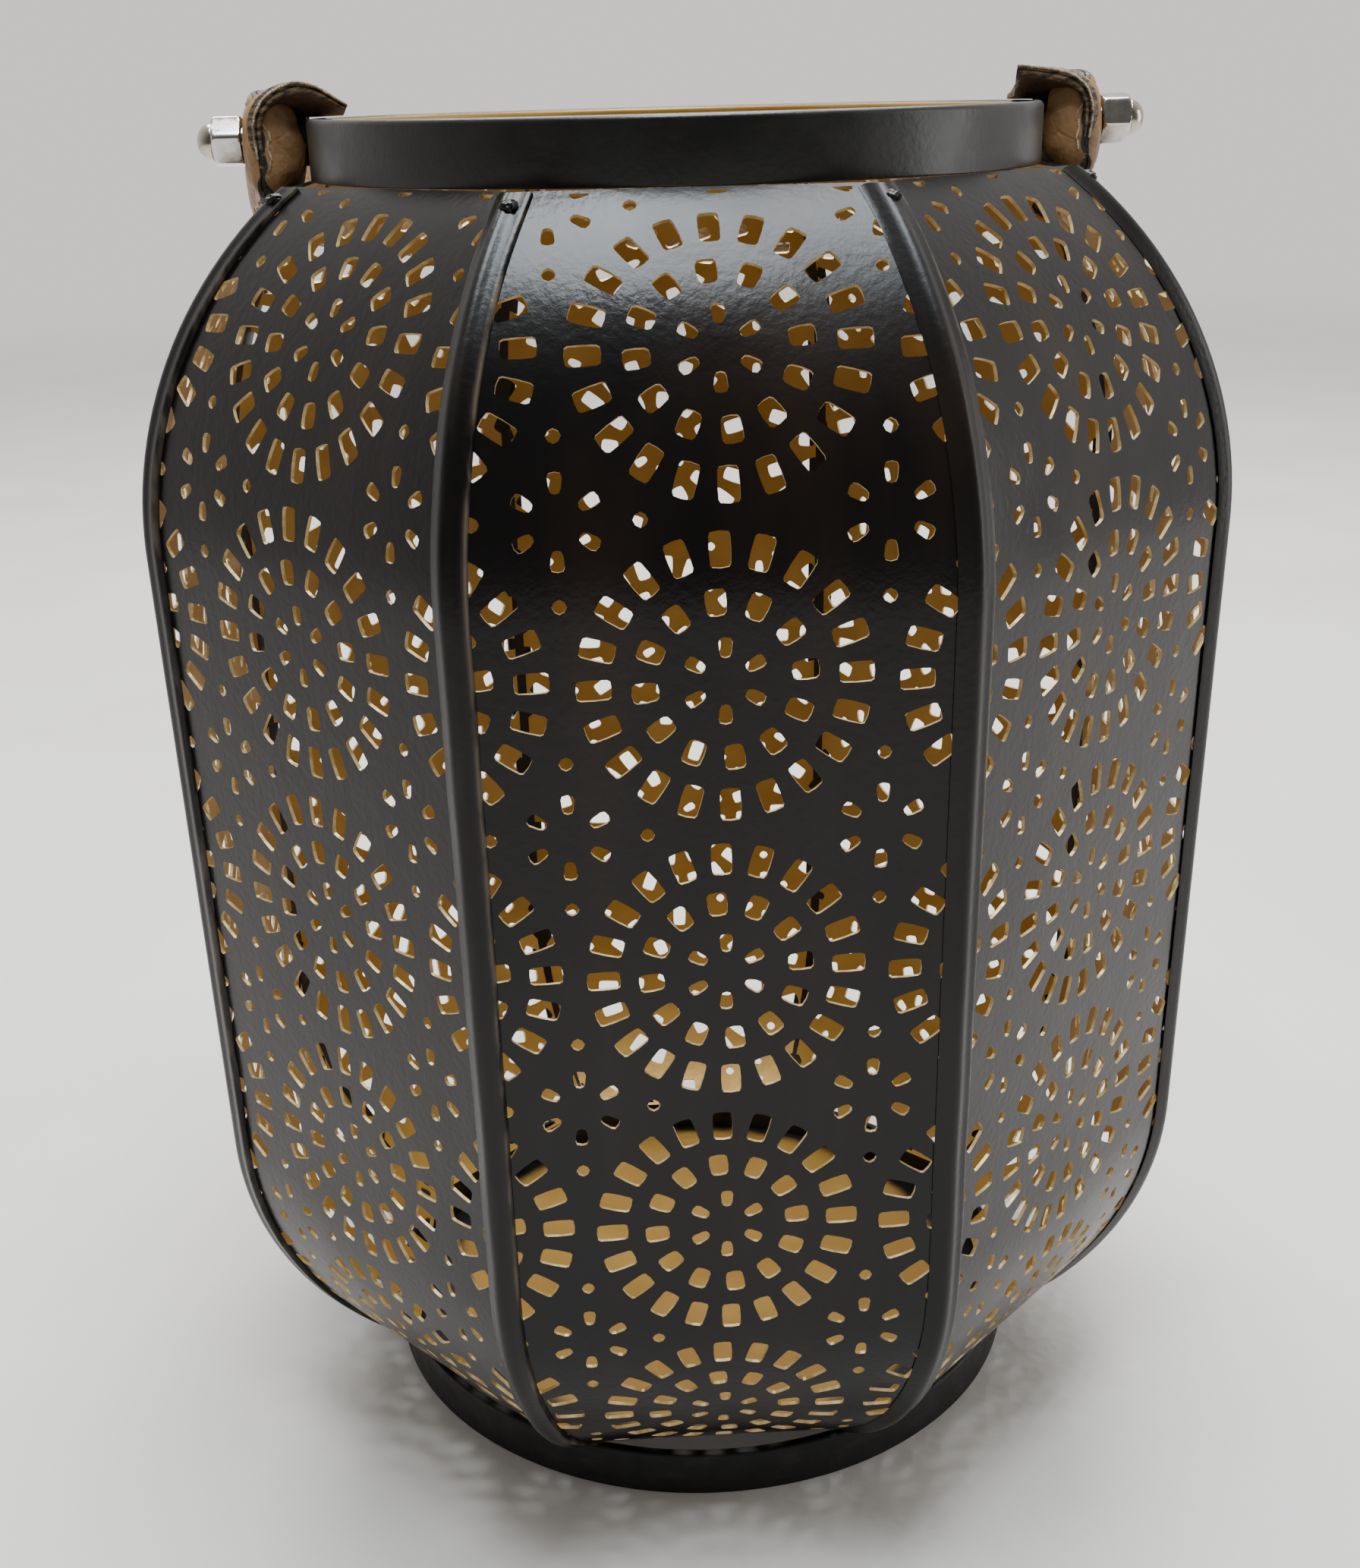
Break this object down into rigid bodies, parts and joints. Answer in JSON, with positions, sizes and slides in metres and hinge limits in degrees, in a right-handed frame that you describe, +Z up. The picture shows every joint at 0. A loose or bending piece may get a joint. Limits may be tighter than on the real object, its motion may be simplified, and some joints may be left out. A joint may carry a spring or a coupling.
{
  "type": "hanging lantern",
  "caption": "Barrel lantern of perforated black sheet panels, gold inside, between two round bar rings, with a padded leather strap handle that swings on bolts with domed nuts.",
  "frame": {"origin": "centre of the underside, on the surface the lantern stands on", "axes": "+Z up; the lantern's front panel faces -Y; the handle's pivots lie along X and the handle rests behind, towards +Y"},
  "size_m": [0.2428, 0.2817, 0.3356],
  "materials": {
    "black_gloss_paint": "semi-gloss black lacquer, faintly brown, over sheet steel; the inside of the panels and rim is satin gold",
    "black_matt_paint": "matt black paint",
    "nickel_plate": "bright nickel plate",
    "tan_leather": "smooth tan leather, dark dyed edges, pale stitching"
  },
  "bodies": {
    "lantern": {"panel_1": "black_gloss_paint", "panel_2": "black_gloss_paint", "panel_3": "black_gloss_paint", "panel_4": "black_gloss_paint", "panel_5": "black_gloss_paint", "panel_6": "black_gloss_paint", "panel_7": "black_gloss_paint", "panel_8": "black_gloss_paint", "corner_strip_1": "black_gloss_paint", "corner_strip_2": "black_gloss_paint", "corner_strip_3": "black_gloss_paint", "corner_strip_4": "black_gloss_paint", "corner_strip_5": "black_gloss_paint", "corner_strip_6": "black_gloss_paint", "corner_strip_7": "black_gloss_paint", "corner_strip_8": "black_gloss_paint", "top_ring": "black_gloss_paint", "base_ring": "black_matt_paint", "floor_plate": "black_matt_paint", "pivot_bolt_left": "nickel_plate", "spacer_left": "black_matt_paint", "acorn_nut_left": "nickel_plate", "pivot_bolt_right": "nickel_plate", "spacer_right": "black_matt_paint", "acorn_nut_right": "nickel_plate"},
    "handle": {"strap_inner_layer": "tan_leather", "strap_outer_layer": "tan_leather"}
  },
  "joints": [
    {"name": "handle_swing", "type": "hinge", "parent": "lantern", "child": "handle", "pos_m": [0, 0, 0.3226], "axis": [1, 0, 0], "range_deg": [0, 200]}
  ]
}
